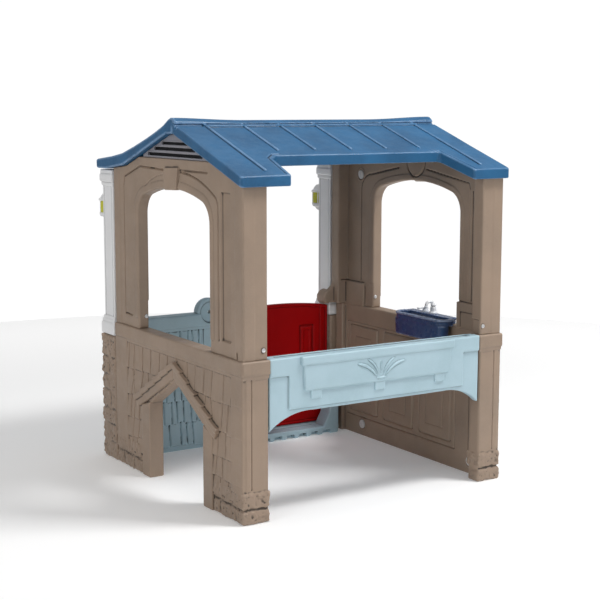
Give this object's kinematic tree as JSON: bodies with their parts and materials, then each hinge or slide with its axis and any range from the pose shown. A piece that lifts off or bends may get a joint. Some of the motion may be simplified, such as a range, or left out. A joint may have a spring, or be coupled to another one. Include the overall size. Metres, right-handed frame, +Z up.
{
  "type": "plastic playhouse",
  "caption": "Toddler playhouse with pitched roof, arched side windows, serving counter, swinging half door, crawl-through gable opening and a window-ledge sink.",
  "frame": {"origin": "centre of the bottom of the bounding box, on the floor", "axes": "+Z up, +Y from the serving counter towards the porch side with the half door, +X along the counter towards the sink wall"},
  "size_m": [0.978, 1.048, 1.167],
  "materials": {
    "tan": "satin, moulded",
    "light_blue": "satin, moulded",
    "roof_blue": "satin, moulded",
    "white": "satin, moulded",
    "vent_grey": "satin, moulded",
    "red": "satin, moulded",
    "navy": "satin, moulded",
    "light_grey": "satin, moulded",
    "lantern_yellow": "gloss",
    "steel": "zinc plated"
  },
  "bodies": {
    "house": {"left_lower_wall": "tan", "right_lower_wall": "tan", "left_upper_wall": "tan", "right_upper_wall": "tan", "left_stone_pillar": "tan", "right_stone_pillar": "tan", "porch_half_wall": "light_blue", "counter": "light_blue", "counter_tray": "light_blue", "roof_front": "roof_blue", "roof_back": "roof_blue", "left_column": "white", "right_column": "white", "left_lantern_bracket": "white", "right_lantern_bracket": "white", "left_gable_vent": "vent_grey", "right_gable_vent": "vent_grey", "sink_basin": "navy", "faucet_base": "light_grey", "tap_boss": "light_grey", "wall_plugs": "light_grey", "left_lantern_glass": "lantern_yellow", "right_lantern_glass": "lantern_yellow", "post_screws": "steel", "window_post_screws": "steel"},
    "door": {"half_door": "red", "door_hinge_pins": "steel"},
    "spout": {"faucet_spout": "light_grey"},
    "lever": {"tap_lever": "light_grey"}
  },
  "joints": [
    {"name": "door_hinge", "type": "hinge", "parent": "house", "child": "door", "pos_m": [0.369, 0.371, 0.25], "axis": [0, 0, -1], "range_deg": [0, 90]},
    {"name": "spout_swivel", "type": "hinge", "parent": "house", "child": "spout", "pos_m": [0.451, -0.195, 0.53], "axis": [0, 0, 1], "range_deg": [-75, 75]},
    {"name": "tap_turn", "type": "hinge", "parent": "house", "child": "lever", "pos_m": [0.451, -0.153, 0.52], "axis": [0, 0, 1], "range_deg": [-45, 45]}
  ]
}
